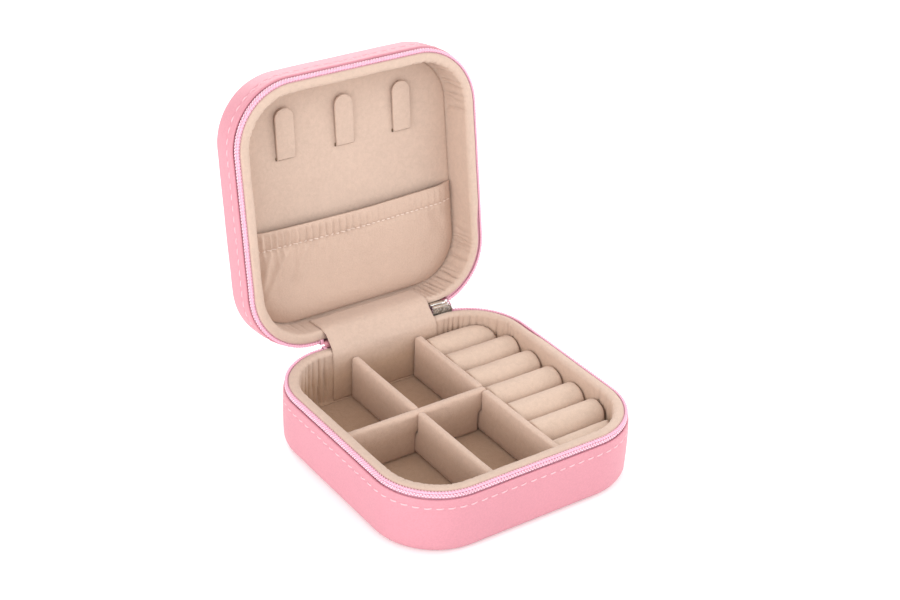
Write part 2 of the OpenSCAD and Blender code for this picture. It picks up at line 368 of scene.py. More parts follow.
def weave(base):
    """Woven tape: fine ribs up the band and across it."""
    def build(nt, b):
        v = coords(nt)
        w = nt.nodes.new("ShaderNodeTexWave")
        w.wave_type = "BANDS"
        w.bands_direction = "Z"
        w.inputs["Scale"].default_value = 620
        w.inputs["Distortion"].default_value = 1.4
        w.inputs["Detail"].default_value = 2
        w.inputs["Detail Scale"].default_value = 3
        nt.links.new(v, w.inputs["Vector"])
        fine = noise_tex(nt, v, 2600, 2, 0.6)
        ribs = spread(nt, w.outputs["Fac"], base, 0.86, 1.06, 0.2, 0.8)
        c = mix(nt, 0.5, ribs, spread(nt, fine, base, 0.84, 1.08))
        nt.links.new(c, b.inputs["Base Color"])
        n = bump(nt, b, w.outputs["Fac"], 0.35, 0.00015)
        bump(nt, b, fine, 0.3, 0.0001, n)
    return build


def spotted(base, scale, dark, light, strength):
    """Fine and broad spots, as on thread, board or worn metal."""
    def build(nt, b):
        v = coords(nt)
        f = noise_tex(nt, v, scale, 3, 0.6)
        g = noise_tex(nt, v, scale / 14, 2, 0.5)
        c = mix(nt, 0.5, spread(nt, f, base, dark, light), spread(nt, g, base, dark, light))
        nt.links.new(c, b.inputs["Base Color"])
        bump(nt, b, f, strength, 0.0001)
    return build


def relief(base):
    """Cast metal with a pressed pattern of small rounded cells."""
    def build(nt, b):
        v = coords(nt)
        cells = voronoi(nt, v, 1150)
        f = noise_tex(nt, v, 1800, 2, 0.5)
        c = mix(nt, 0.5, spread(nt, cells, base, 1.15, 0.16, 0.25, 0.62), spread(nt, f, base, 0.75, 1.1))
        nt.links.new(c, b.inputs["Base Color"])
        n = bump(nt, b, cells, 0.8, 0.0003)
        bump(nt, b, f, 0.2, 0.0001, n)
    return build


PINK = (0.595, 0.250, 0.297)
TAPE = (0.70, 0.36, 0.45)
BEIGE = (0.555, 0.41, 0.33)
SHADED_LINING = (0.485, 0.325, 0.225)               # painted shade: the lining's darker, warmer colour down in the base
BEIGE_DIVIDER = (0.60, 0.437, 0.35)
# painted shade: the dividers' darker, warmer colour lower down in the case
SHADED_DIVIDER = (0.45, 0.30, 0.215)
BEIGE_ROLL = (0.585, 0.435, 0.343)
BEIGE_POCKET = (0.555, 0.40, 0.318)
METAL_RELIEF = (0.58, 0.57, 0.54)


def spotted_material(name, colour, rough, scale, dark, light, strength, metallic=0.0):
    return material(name, colour, rough, spotted(colour, scale, dark, light, strength), metallic)


M = {
    "leather": material("leather_pink", PINK, 0.52, leather(PINK), spec=0.42),
    "tape": material("zip_tape_pink", TAPE, 0.85, weave(TAPE), sheen=0.15),
    "coil": spotted_material("zip_coil_pink", (0.82, 0.43, 0.55), 0.42, 3000, 0.94, 1.04, 0.06),
    "thread": spotted_material("thread_pale_pink", (0.80, 0.48, 0.52), 0.7, 5000, 0.85, 1.08, 0.3),
    "dots": spotted_material("tape_thread_pale", (0.93, 0.66, 0.74), 0.7, 5000, 0.88, 1.05, 0.3),
    "lining": material("suede_beige", BEIGE, 0.92, suede(BEIGE), sheen=0.12),
    # the base's lining, with painted shade down in the case
    "shaded_lining": material("suede_beige_painted_shade", BEIGE, 0.92, suede(BEIGE, 1.0, SHADED_LINING), sheen=0.12),
    "pocket": material("pocket_cloth_beige", BEIGE_POCKET, 0.78, fine_grain(BEIGE_POCKET), sheen=0.05,
                       spec=0.35),
    # the dividers' cloth, with painted shade lower down
    "divider": material("suede_divider_painted_shade", BEIGE_DIVIDER, 0.92, suede(BEIGE_DIVIDER, 1.0, SHADED_DIVIDER),
                        sheen=0.25),
    "roll": material("suede_roll", BEIGE_ROLL, 0.92, suede(BEIGE_ROLL, 0.8), sheen=0.12),
    "beige_thread": spotted_material("thread_beige", (0.78, 0.64, 0.56), 0.8, 5000, 0.85, 1.08, 0.3),
    "board": spotted_material("brown_board", (0.36, 0.25, 0.17), 0.9, 1500, 0.85, 1.1, 0.2),
    "metal": spotted_material("slider_metal", (0.82, 0.81, 0.78), 0.26, 1200, 0.88, 1.06, 0.06, 1.0),
    "relief": material("slider_relief", METAL_RELIEF, 0.36, relief(METAL_RELIEF), metallic=1.0),
}


def dress(o, mat, body, slot_name, *replaced):
    """Gives a piece its material and body, and hides the CAD nodes that it stands for. slot_name is not used.
    """
    o.data.materials.clear()
    o.data.materials.append(M[mat])
    if body:
        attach(o, body)
    if replaced:
        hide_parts(*replaced)
    return o


# ---- leather shells and their stitching
GROOVE = 0.16               # depth of the line that the stitches pull into the leather
GROOVE_HALF = 0.55          # half its width


def groove(z, stitch_line):
    return GROOVE * max(0.0, 1 - ((z - stitch_line) / GROOVE_HALF) ** 2)


def bulge(u):
    """How far the leather's side stands out, from its soft edge (u 0) to the zip's band (u 1)."""
    return 0.22 * math.sin(math.pi * u) * (1 - 0.4 * u)


def leather_shell(name, h, lid):
    """Leather side and its flat face, with a soft edge between them and a folded upper edge."""
    edge, er = h - BAND, SOFT_EDGE
    stitch_line = edge - STITCH_DROP
    rows = 18 if lid else 26
    side_rows = {(0.0, er + (edge - 0.5 - er) * i / rows) for i in range(rows + 1)}
    side_rows |= {(0.0, stitch_line + d) for d in (-0.8, -0.5, -0.25, 0, 0.25, 0.5, 0.8)}
    section = [(12.0, 0.0), (9.0, 0.0), (6.5, 0.0)] + arc(er, er, er, 270, 180, 10)[:-1]
    section += sorted(side_rows, key=lambda p: p[1])
    section += arc(0.5, edge - 0.5, 0.5, 180, 0, 8)[1:]
    inside = [(LEATHER, edge - 2.5), (LEATHER, er)]
    inside += [on_arc(er, er, er - LEATHER, a) for a in (195, 225, 255, 270)] + [(12.0, LEATHER)]
    section += inside

    def move(s, i, a, z):
        if i >= len(section) - len(inside) or z < 0.01:
            return 0.0, 0.0
        p, _ = at(s)
        d = 0.10 * wob(p.x, p.y, z, 14, 3.1 + lid) + 0.035 * wob(p.x, p.y, z, 4.5, 9.0 + lid)
        if a < 1.2 and z > er:
            d += groove(z, stitch_line) - bulge(min(1, (z - er) / (edge - er)))
        e = 0.10 * wob(p.x, p.y, 0, 9, 5.5 + lid) if z > edge - 0.9 else 0.0
        return d, e

    return ring(name, section, step=1.1, closed=False, move=move, lid=lid)


STITCH_PITCH = 4.0
STITCH = 2.75               # length of one stitch
THREAD = 0.27               # radius of the leather's thread


def stitches(name, h, lid):
    """The thread's visible lengths, a little slanted, their ends drawn into the leather."""
    z = h - BAND - STITCH_DROP
    out = bulge((z - SOFT_EDGE) / (h - BAND - SOFT_EDGE)) - GROOVE + 0.06
    parts = ([], [])
    n = int(round(PERIM / STITCH_PITCH))
    for i in range(n):
        s0 = PERIM * i / n + rnd.uniform(-0.08, 0.08)
        tilt = 0.16 + rnd.uniform(-0.07, 0.07)
        pts = []
        for k in range(9):
            f = k / 8
            p, nn = at(s0 + STITCH * f)
            q = p + nn * (out - 0.42 * abs(2 * f - 1) ** 3)
            pts.append(Vector((q.x, q.y, z + tilt * (2 * f - 1))))
        add_thread(parts, pts, THREAD)
    return make(name, *parts, lid)


# ---- zip tape, coil and its threads
def tape(name, h, lid, s0, s1):
    """Woven tape: up behind the leather's edge, bulging a little, then inwards under the coil."""
    outer = [(1.06, 8), (1.06, 4.2), (1.3, 3.5), (1.28, 3.15), (0.92, 2.85), (0.76, 2.5), (0.74, 2.1),
             (0.86, 1.72), (1.3, 1.56), (1.62, 1.4), (1.7, 0.98), (2.05, 0.95), (2.2, 1.5), (2.85, 1.5)]
    inner = [(2.85, 1.7), (2.0, 1.74), (1.45, 1.85), (1.22, 2.3), (1.4, 2.75), (1.49, 3.5), (1.49, 8)]
    section = [(inset, h - depth) for inset, depth in outer + inner]

    def move(s, i, a, z):
        p, _ = at(s)
        k = smoothstep(h - 3.2, h - 2.7, z) * (1 - smoothstep(1.2, 2.0, a))
        slim = near_slider(s) * smoothstep(1.9, 2.85, a)
        sunk = near_slider(s) * smoothstep(h - 1.45, h - 1.0, z)
        return 0.07 * k * wob(p.x, p.y, z, 5, 1.7) - 0.2 * slim, -0.05 * slim - 0.5 * sunk

    return ring(name, section, s0, s1, step=1.2, move=move, lid=lid)


def squared(x):
    """Flattens a sine, so that the coil's turns are squarish."""
    return math.copysign(abs(x) ** 0.75, x)


def coil(name, h, lid, s0, s1):
    """The zip's coil, one real turn per tooth: flat on the tape, bent over at the teeth."""
    turns = int((s1 - s0) / COIL_PITCH)
    per_turn = 14
    z = h - 1.02
    pts = []
    for i in range(turns * per_turn + 1):
        t = i / per_turn
        a = 2 * math.pi * t
        p, nn = at(s0 + 0.3 + (s1 - s0 - 0.6) * t / turns)
        q = p - (COIL_INSET + 0.40 * squared(math.cos(a))) * nn
        pts.append(Vector((q.x, q.y, z + 0.32 * squared(math.sin(a)))))
    return make(name, *thread(pts, 0.27), lid)


def coil_cord(name, h, lid, s0, s1):
    """The filler cord that runs through the coil."""
    section = arc(COIL_INSET, h - 1.08, 0.46, 0, 320, 8, ry=0.40)
    return ring(name, section, s0, s1, step=1.2, lid=lid)


def tape_dots(name, h, lid, s0, s1):
    """The two rows of thread that sew the coil to its tape, seen as pale dots."""
    parts = ([], [])
    n = int((s1 - s0) / COIL_PITCH)
    for row, inset, depth in ((0, 0.72, 1.78), (1, 0.66, 2.42)):
        for i in range(n):
            s = s0 + 0.4 + (i + 0.5 * row) * (s1 - s0 - 1.2) / n
            p, nn = at(s)
            p2, _ = at(s + 0.6)
            pts = []
            for k in range(4):
                f = k / 3
                q = p.lerp(p2, f) - nn * (inset + 0.16 * (2 * f - 1) ** 2)
                pts.append(Vector((q.x, q.y, h - depth)))
            add_thread(parts, pts, 0.22, 5)
    return make(name, *parts, lid)


# ---- lining
pleats = []                 # place, depth and width of each gather
for corner in range(4):
    start = STRAIGHT + corner * (STRAIGHT + ARC)
    s = start - 6
    while s < start + ARC + 6:
        pleats.append((s, rnd.uniform(0.35, 1.0), rnd.uniform(0.35, 0.7)))
        s += rnd.uniform(1.9, 4.4)


def pleat(s, lid):
    """Depth of the lining's upright gathers in the corners, 0 to 1; shallow where the lid's cloth is taut."""
    d = 0.0
    shift = 1.3 if lid else 0.0
    for place, depth, width in pleats:
        x = abs((s - place - shift + PERIM / 2) % PERIM - PERIM / 2)
        if x < 5 * width:
            d = max(d, depth * math.exp(-x / width))
    taut = smoothstep(S_HL - 8, S_HL - 2, s) * (1 - smoothstep(S_HL + ARC + 6, S_HL + ARC + 12, s))
    return d * gathers(s) * (1 - 0.8 * taut * lid)


def gathers(s):
    """1 in the corners, where the cloth is gathered, 0 along the straights."""
    c = s % (STRAIGHT + ARC)
    return smoothstep(STRAIGHT - 7, STRAIGHT - 1, c) + (1 - smoothstep(1, 7, c))


def between(s, a0, a1, b0, b1):
    """1 from a1 to b0 along the boundary, falling to 0 at a0 and b1."""
    s = s % PERIM
    return smoothstep(a0, a1, s) * (1 - smoothstep(b0, b1, s))


def near_slider(s):
    """1 along the part of the rim that the slider can pass, 0 elsewhere."""
    return between(s, SLIDER_FROM, SLIDER_FROM + 9, S_HR + 1.5, S_HR + 4)


def padded_wall(name, h, lid, low):
    """Foam wall under one cloth: gathered in the corners, rolled over the rim, turned under at the floor."""
    top = h - 0.05
    shoulder = arc(4.0, top - 1.5, 1.5, 0, 90, 9)
    outer = [(3.3, top), (2.75, top - 0.08), (2.3, top - 0.32), (2.0, top - 0.75), (1.95, top - 1.25),
             (2.3, h - 1.42), (3.0, h - 1.45), (3.05, h - 1.8)]
    if lid:
        foot = [(7.2, low), (7.0, low + 0.1), (5.9, low + 0.14), (5.62, low + 0.3), (5.5, low + 0.7)]
    else:
        foot = [(6.5, low), (6.25, low + 0.25), (5.85, low + 0.6)]
    rows = 22
    face = [(WALL, low + 1.3 + (top - 1.5 - low - 1.3) * i / rows) for i in range(rows)]
    section = [(3.05, low)] + foot + face + shoulder + outer

    def move(s, i, a, z):
        if a < 3.2 and z < h - 1.5:
            return 0.0, 0.0
        p, _ = at(s)
        u = min(1.0, max(0.0, (z - low) / (top - low)))
        inner = smoothstep(3.6, 5.3, a)
        k = pleat(s + 0.5 * math.sin(z * 0.4 + s) * (1 - u), lid)
        d = 0.12 * wob(p.x, p.y, z, 9, 4.4 + lid) + 0.05 * wob(p.x, p.y, z, 3, 7.7 + lid)
        d -= 1.4 * k * inner * (0.08 + 0.92 * math.sin(math.pi * min(1, 0.12 + 0.88 * u)) ** 0.8)
        d += 0.16 * inner * (1 - k) * gathers(s)
        e = -0.12 * k * smoothstep(h - 2.2, h - 0.4, z) * smoothstep(2.6, 4.2, a)
        # lower under the strip at the hinge
        under = between(s, S_HR - 1.0, S_HR + 2.0, S_HL - 2.0, S_HL + 1.0)
        d -= 0.75 * under * smoothstep(3.0, 4.2, a) * smoothstep(h - 7.5, h - 1.5, z)
        e -= 0.55 * under * smoothstep(h - 2.0, h - 1.0, z) * smoothstep(1.9, 3.4, a)
        if not lid:
            d = min(d, 0.22)
        elif z < low + 0.8:
            d = max(0.0, d)
        if z > h - 2.2:
            e += 0.08 * wob(p.x, p.y, 0, 6, 8.2 + lid) - 0.06
            if a < 3.7:          # the rim's outer side, drawn in where the slider passes
                d = 0.06 * wob(p.x, p.y, z, 7, 2.2 + lid)
                d += (0.99 * near_slider(s) - 0.14) * (3.7 - a) / 1.75
        if lid and a < 4.6 and z > h - 2.2:
            # and more where it stands at rest
            k = between(s, S_HR - 10.6, S_HR - 8.6, S_HR + 0.2, S_HR + 1.6)
            d += k * max(0.0, 3.25 - a - d)
            e -= 0.35 * k * max(0.0, 1 - abs(a + d - 3.25) / 1.2)
        return d, e

    return ring(name, section, step=0.4, move=move, lid=lid)


def floor_cloth(name, inset, z0, z1):
    """A cloth-covered board with rounded edges and a slightly uneven face."""
    drop = 0.35
    section = [(inset + 15.5, z0), (inset, z0), (inset, z1 - drop), (inset + drop * 0.3, z1 - drop * 0.3)]
    section += [(inset + d, z1) for d in (drop, 1.2, 2.4, 4, 6, 8, 10.5, 13, 15.5)]

    def move(s, i, a, z):
        if z <= z0 + 0.1 or a <= inset + 0.9:
            return 0.0, 0.0
        p, nn = at(s)
        q = p - a * nn
        return 0.0, 0.06 * wob(q.x, q.y, 0, 11, 1.1)

    return ring(name, section, step=1.5, closed=False, move=move)


# ---- boards cut from an outline
def slab(name, outline, thick, bevel, place, lid=False):
    """An outline (x, y) given a thickness along z about 0, edges rounded, put in place."""
    bm = bmesh.new()
    f = bm.faces.new([bm.verts.new((x * MM, y * MM, -thick / 2 * MM)) for x, y in outline])
    raised = bmesh.ops.extrude_face_region(bm, geom=[f])["geom"]
    bmesh.ops.translate(bm, verts=[e for e in raised if isinstance(e, bmesh.types.BMVert)],
                        vec=(0, 0, thick * MM))
    bmesh.ops.recalc_face_normals(bm, faces=bm.faces)
    if bevel:
        edges = [e for e in bm.edges if abs(e.verts[0].co.z - e.verts[1].co.z) < 1e-9]
        bmesh.ops.bevel(bm, geom=edges, offset=bevel * MM, segments=3, profile=0.5, affect="EDGES",
                        clamp_overlap=True)
    me = bpy.data.meshes.new(name)
    bm.to_mesh(me)
    bm.free()
    world = Matrix.Scale(MM, 4) @ (LID if lid else Matrix.Identity(4)) @ place @ Matrix.Scale(1 / MM, 4)
    me.transform(world)
    if world.determinant() < 0:
        me.flip_normals()
    return smooth_object(name, me)


def rounded(points, radii, n):
    """A polygon with each corner rounded by its own radius, in n steps."""
    out = []
    for i, r in enumerate(radii):
        p, a, b = Vector(points[i]), Vector(points[i - 1]), Vector(points[(i + 1) % len(points)])
        if r <= 0:
            out.append(tuple(p))
            continue
        u, v = (a - p).normalized(), (b - p).normalized()
        half = math.acos(max(-1, min(1, u.dot(v)))) / 2
        d = r / math.tan(half)
        c = p + (u + v).normalized() * (r / math.sin(half))
        p0, p1 = p + u * d, p + v * d
        a0 = math.atan2(p0.y - c.y, p0.x - c.x)
        turn = math.remainder(math.atan2(p1.y - c.y, p1.x - c.x) - a0, 2 * math.pi)
        out += [(c.x + r * math.cos(a0 + turn * j / n), c.y + r * math.sin(a0 + turn * j / n))
                for j in range(n + 1)]
    return out


def cad_copy(name, source, bevel, mat, body, slot_name, segments=2, move=None):
    """The CAD node's own shape with its edges softened."""
    me = frame["nodes"][source].data.copy()
    me.name = name
    bm = bmesh.new()
    bm.from_mesh(me)
    if move:
        for v in bm.verts:
            v.co = move(v.co)
    bmesh.ops.remove_doubles(bm, verts=bm.verts, dist=2e-6)
    bmesh.ops.dissolve_limit(bm, angle_limit=math.radians(2), verts=bm.verts, edges=bm.edges)
    sharp = [e for e in bm.edges if len(e.link_faces) == 2 and e.calc_face_angle(0) > math.radians(32)]
    bmesh.ops.bevel(bm, geom=sharp, offset=bevel * MM, segments=segments, profile=0.5, affect="EDGES",
                    clamp_overlap=True)
    bmesh.ops.recalc_face_normals(bm, faces=bm.faces)
    bm.to_mesh(me)
    bm.free()
    return dress(smooth_object(name, me), mat, body, slot_name, source)


SIM_SCALE = 10               # pieces this small are blown up at ten times their size


def stuff(o, voxel, soften, give):
    """Turns a piece's sharp form into a padded one: remeshed, its edges softened, blown up as cloth.

    voxel is the remesh size and give the most that a point may move in the cloth step, in mm. The
    result is in the piece's own mesh."""
    bpy.context.view_layer.objects.active = o
    o.data.transform(Matrix.Scale(SIM_SCALE, 4))
    remesh = o.modifiers.new("remesh", "REMESH")
    remesh.mode = "VOXEL"
    remesh.voxel_size = voxel * MM * SIM_SCALE
    remesh.use_smooth_shade = True
    bpy.ops.object.modifier_apply(modifier=remesh.name)
    smooth = o.modifiers.new("soften", "SMOOTH")
    smooth.factor = 0.5
    smooth.iterations = soften
    bpy.ops.object.modifier_apply(modifier=smooth.name)
    before = [v.co.copy() for v in o.data.vertices]
    cloth = o.modifiers.new("cloth", "CLOTH")
    cloth.settings.use_pressure = True
    cloth.settings.uniform_pressure_force = 4.0
    cloth.settings.effector_weights.gravity = 0.0
    for frame_number in range(1, 21):
        bpy.context.scene.frame_set(frame_number)
    bpy.ops.object.modifier_apply(modifier=cloth.name)
    bpy.context.scene.frame_set(1)
    most = give * MM * SIM_SCALE
    for v, start in zip(o.data.vertices, before):
        step = v.co - start
        if step.length > most:
            v.co = start + step.normalized() * most
    o.data.transform(Matrix.Scale(1 / SIM_SCALE, 4))


# ==== base
ZIP_START, BASE_ZIP_END = S_HL, S_HR + PERIM
LID_ZIP_END = STRAIGHT + math.radians(74) * R + PERIM       # where the slider stands


def cover_and_zip(side, h, s1, flat):
    """The leather with its stitching, and this side's half of the zip, up to s1 along the boundary."""
    lid = side == "lid"
    s0 = ZIP_START
    dress(leather_shell(f"{side}_leather_cover", h, lid), "leather", side, "leather", f"{side}_leather", flat)
    dress(stitches(f"{side}_stitching", h, lid), "thread", side, "leather")
    dress(tape(f"{side}_tape", h, lid, s0, s1), "tape", side, "zip", f"{side}_zip_tape")
    dress(coil(f"{side}_coil", h, lid, s0 + 1.2, s1), "coil", side, "zip", f"{side}_zip_coil")
    dress(coil_cord(f"{side}_coil_cord", h, lid, s0 + 1.4, s1 - 0.2), "coil", side, "zip")
    dress(tape_dots(f"{side}_tape_threads", h, lid, s0 + 1, s1 - 0.5), "dots", side, "zip")


cover_and_zip("base", BH, BASE_ZIP_END, "base_underside")
# the base's wall and floor cloth take the lining with painted shade, darker down in the case
o = padded_wall("base_padded_wall", BH, False, 3.62)
dress(o, "shaded_lining", "base", "lining", "base_lining", "base_rim_roll")
dress(floor_cloth("base_floor_cloth", 3.1, 3.0, 3.6), "shaded_lining", "base", "lining", "base_floor_lining")


# dividers, drawn as (along, up)
def box_mm(name):
    """The low and high corners of a CAD node's box."""
    return [[c / MM for c in corner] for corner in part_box(name)]


(_, y0, low), (_, y1, _) = box_mm("long_divider")
(x0, cross_y0, _), (x1, cross_y1, _) = box_mm("cross_divider")
MID = (low + D_TOP) / 2                 # where the half-lap slots end
CROSS_Y = (cross_y0 + cross_y1) / 2
UP_Y = Matrix(((0, 0, 1, 0), (1, 0, 0, 0), (0, 1, 0, 0), (0, 0, 0, 1)))      # (x, y, z) -> (z, x, y)
UP_X = Matrix(((1, 0, 0, 0), (0, 0, -1, 0), (0, 1, 0, 0), (0, 0, 0, 1)))     # (x, y, z) -> (x, -z, y)
DIVIDER_THICK = 2.75
SLOT = 1.5                  # half the width of a half-lap slot


def divider(name, source, outline, radii, place):
    """A foam board under cloth, cut to an outline, its edges rounded by the stuffing."""
    o = slab(name, rounded(outline, radii, 5), DIVIDER_THICK, 0.0, place)
    stuff(o, 0.6, 5, 0.3)
    dress(o, "divider", "divider_grid", "divider_cloth", source)


xs = []
for name, source in (("divider_long", "long_divider"), ("divider_side", "side_divider")):
    (left, _, _), (right, _, _) = box_mm(source)
    xs.append((left + right) / 2)
    outline = [(y0, low + 0.3), (y1, low + 0.3), (y1, D_TOP), (CROSS_Y + SLOT, D_TOP), (CROSS_Y + SLOT, MID),
               (CROSS_Y - SLOT, MID), (CROSS_Y - SLOT, D_TOP), (y0, D_TOP)]
    radii = [0.4, 0.4, 1.4, 0, 0, 0, 0, 1.4]
    divider(name, source, outline, radii, Matrix.Translation((xs[-1], 0, 0)) @ UP_Y)
outline = [(x0, low), (xs[0] - SLOT, low), (xs[0] - SLOT, MID), (xs[0] + SLOT, MID), (xs[0] + SLOT, low),
           (xs[1] - SLOT, low), (xs[1] - SLOT, MID), (x1, MID), (x1, D_TOP), (x0, D_TOP)]
radii = [0.4, 0.4, 0, 0, 0.4, 0.4, 0, 0.4, 1.0, 1.4]
divider("divider_cross", "cross_divider", outline, radii, Matrix.Translation((0, CROSS_Y, 0)) @ UP_X)

# ring rolls
(RX0, ROLL_Y0, RZ0), (RX1, ROLL_Y1, RZ1) = box_mm("ring_roll_4")
ROLL_R = (ROLL_Y1 - ROLL_Y0) / 2
ROLL_PITCH = (2 * HY - 2 * WALL) / 7
ROLL_LENGTH = RX1 + 0.35 - RX0
ROLL_ROOM = WALL + 0.8      # the end rolls keep this far inside the case's outline


def ring_roll(i):
    """A wrapped foam roll on a flat foot; roll 1 is at the back."""
    yc = -(i - 4) * ROLL_PITCH
    zc = RZ1 - ROLL_R
    drop = zc - RZ0
    sect = [on_arc(0, zc, ROLL_R, a) for a in range(0, 181, 9)]
    sect += [(-ROLL_R, zc - drop * k / 4) for k in range(1, 5)]
    sect += [(-ROLL_R * 0.5, RZ0), (0, RZ0), (ROLL_R * 0.5, RZ0)]
    sect += [(ROLL_R, RZ0 + drop * k / 4) for k in range(4)]
    middle = (RZ0 + RZ1) / 2
    end = [0, 0.05, 0.15, 0.32]
    places = end + [0.6 + (ROLL_LENGTH - 1.2) * k / 30 for k in range(31)]
    places += [ROLL_LENGTH - x for x in reversed(end)]
    verts = []
    for x in places:
        e = min(x, ROLL_LENGTH - x)
        shrink = 1 - 0.075 * (1 - min(1, e / 0.6)) ** 2.2
        for y, z in sect:
            xw, yw = RX0 + x, yc + y * shrink * (1 - 0.012 * abs(wob(x, yc, z, 6, i)))
            zw = middle + (z - middle) * shrink
            if abs(yw) > HY - R:         # the end rolls follow the case's inner corners
                yw = math.copysign(min(abs(yw), HY - ROLL_ROOM), yw)
                limit = HX - R + math.sqrt(max(0.0, (R - ROLL_ROOM) ** 2 - (abs(yw) - (HY - R)) ** 2))
                xw = RX0 + x * min(1.0, (limit - RX0) / ROLL_LENGTH)
            if i == 7 and zw > zc:       # the last roll is pressed down under the front rim
                zw -= 0.20 * (zw - zc)
            if z > zc:
                zw += 0.07 * wob(xw, yw, zw, 5, i + 0.5)
            verts.append((xw, yw, zw))
    return make(f"roll_{i}", verts, skin(len(places), len(sect)))


for i in range(1, 8):
    o = ring_roll(i)
    stuff(o, 0.6, 1, 0.22)
    dress(o, "roll", "base", "lining", f"ring_roll_{i}")

# ==== lid
cover_and_zip("lid", LH, LID_ZIP_END, "lid_top_cover")
o = padded_wall("lid_padded_wall", LH, True, 3.02)
dress(o, "lining", "lid", "lining", "lid_lining", "lid_rim_roll")


def draw_in(v):
    """Pulls the panel's edge off the wall, which leaves the dark crease round it."""
    q = LID.inverted() @ (Vector(v) / MM)
    x, y = abs(q.x) - (HX - R), abs(q.y) - (HY - R)
    r = math.hypot(max(x, 0), max(y, 0)) if max(x, y) > 0 else max(x, y)
    if r < R - 6.2:
        return Vector(v)
    n = Vector((math.copysign(max(x, 0), q.x), math.copysign(max(y, 0), q.y), 0)).normalized()
    return (LID @ (q - 0.75 * n)) * MM


cad_copy("lid_panel_board", "lid_panel", 0.3, "lining", "lid", "lining", move=draw_in, segments=3)

# necklace tabs: rounded tongues with soft edges
TAB_LENGTH = 18.4
(left, _, _), (right, _, _) = box_mm("necklace_tab_2")
r = (right - left) / 2
outline = [(-r + 0.05, 0.3), (-r, -3)] + arc(0, r - TAB_LENGTH, r, 180, 360, 18)
outline += [(r, -3), (r - 0.05, 0.3)]
for i in (1, 2, 3):
    joint = next(j for j in frame["joints"] if j["name"] == f"tab_{i}_flex")
    slit = Matrix.Translation(LID.inverted() @ (Vector(joint["pos_m"]) / MM))
    place = slit @ Matrix.Rotation(math.radians(-3), 4, "X")
    o = slab(f"necklace_hook_{i}", outline, 0.95, 0.34, place, lid=True)
    dress(o, "lining", f"tab_{i}", "lining", f"necklace_tab_{i}")

# ==== pocket
PK_Z = 3.8                  # face of the lid's panel
PK_EDGE = 6.15              # the pocket's edge, inset from the case's outer face
PK_MOUTH, PK_END = 6.0, HY - PK_EDGE
PK_HALF = 44.0              # half the mouth's width
BAND_W = 7.0                # elastic channel along the mouth
# folds below the channel: place, slope, width, depth, and where each starts and ends
FOLDS = ((-28, -0.62, 1.8, 1.50, 7.5, 33), (-35.5, -0.30, 1.4, 1.20, 7.5, 27),
         (-21, -0.35, 1.5, 0.85, 7.5, 24), (-14, 0.10, 1.8, 0.30, 7.5, 15),
         (33, 0.45, 2.6, -0.45, 8, 24), (25, 0.25, 2.2, 0.26, 7.5, 18))


def mouth_sag(x):
    return 0.8 * (1 - (x / PK_HALF) ** 2)


def edge_distance(x, y):
    qx, qy = abs(x) - (HX - R), abs(y) - (HY - R)
    out = math.hypot(max(qx, 0), max(qy, 0)) + min(max(qx, qy), 0)
    return R - PK_EDGE - out


def pocket_height(x, y):
    """How far the pocket's cloth stands off the panel, mm."""
    v = y - PK_MOUTH - mouth_sag(x)                       # from the mouth
    e = min(1.0, max(0.0, edge_distance(x, y)) / 8.5)
    crown = 1 - (1 - e) ** 2.4
    puff = 2.35 + 1.1 * (1 - (x / PK_HALF) ** 2) * math.exp(-max(0, v) / 14.0)
    gathered = 0.34 * smoothstep(20, -14, x) + 0.07
    phase = x * 2.25 + 1.3 * wob(x, 0, 0, 8, 2.0) + 0.35 * math.sin(v * 0.6 + x)
    ruff = gathered * (math.sin(phase) - 0.35 * math.sin(2 * phase + 0.6) + 0.5 * wob(x, v, 0, 3.0, 8.0))
    seam = math.exp(-((v - BAND_W) / 0.55) ** 2)
    if v <= BAND_W:
        t = max(0.0, v / BAND_W)
        ruff *= 0.10 + 0.90 * smoothstep(0.04, 0.32, t)
        puff += 0.40 * math.sin(math.pi * t)
    else:
        ruff *= 0.9 * math.exp(-(v - BAND_W) / 3.2)
    fold = 0.0
    for x0, slope, w, amp, v0, v1 in FOLDS:
        f = math.exp(-((x - x0 - slope * (v - BAND_W)) / w) ** 2)
        fold += amp * f * smoothstep(v0 - 0.5, v0 + 3, v) * (1 - smoothstep(v1 - 8, v1, v))
    soft = 0.42 * wob(x, y, 0, 15, 3.3) + 0.10 * wob(x, y, 0, 5, 1.3)
    return max(0.12, 0.15 + crown * (puff + ruff + fold + soft - 0.42 * seam))


def pocket():
    """The pocket's cloth: a hem at its mouth, then one layer sewn down round its edge."""
    nu = 250
    vs = [i * 0.35 for i in range(22)] + [7.7 + (PK_END - PK_MOUTH - 7.7) * (i + 1) / 40 for i in range(40)]
    ny = len(vs)
    verts = []
    for i in range(nu + 1):
        for v in vs:
            y = PK_MOUTH + v
            half = HX - PK_EDGE
            if y > HY - R:
                half = HX - R + math.sqrt(max(0.0, (R - PK_EDGE) ** 2 - (y - HY + R) ** 2))
            x = (-1 + 2 * i / nu) * half
            y += mouth_sag(x) * (1 - v / vs[-1]) ** 2
            verts.append((x, y, PK_Z + pocket_height(x, y)))
    n = len(verts)
    for k, (x, y, z) in enumerate(list(verts)):
        v = vs[k % ny]
        t = 0.5 + 0.5 * (1 - smoothstep(0.5, 1.6, v))
        verts.append((x, y + 0.15 * (v == 0), max(PK_Z + 0.03, z - t)))
    faces = []
    for i in range(nu):
        for j in range(ny - 1):
            a = i * ny + j
            faces += [(a, a + ny, a + ny + 1, a + 1), (n + a + 1, n + a + ny + 1, n + a + ny, n + a)]
    for i in range(nu):
        for a in (i * ny, i * ny + ny - 1):
            faces.append((a, n + a, n + a + ny, a + ny))
    for i in (0, nu):
        for a in range(i * ny, i * ny + ny - 1):
            faces.append((a, a + 1, n + a + 1, n + a))
    return make("pocket_cloth", verts, faces, True)


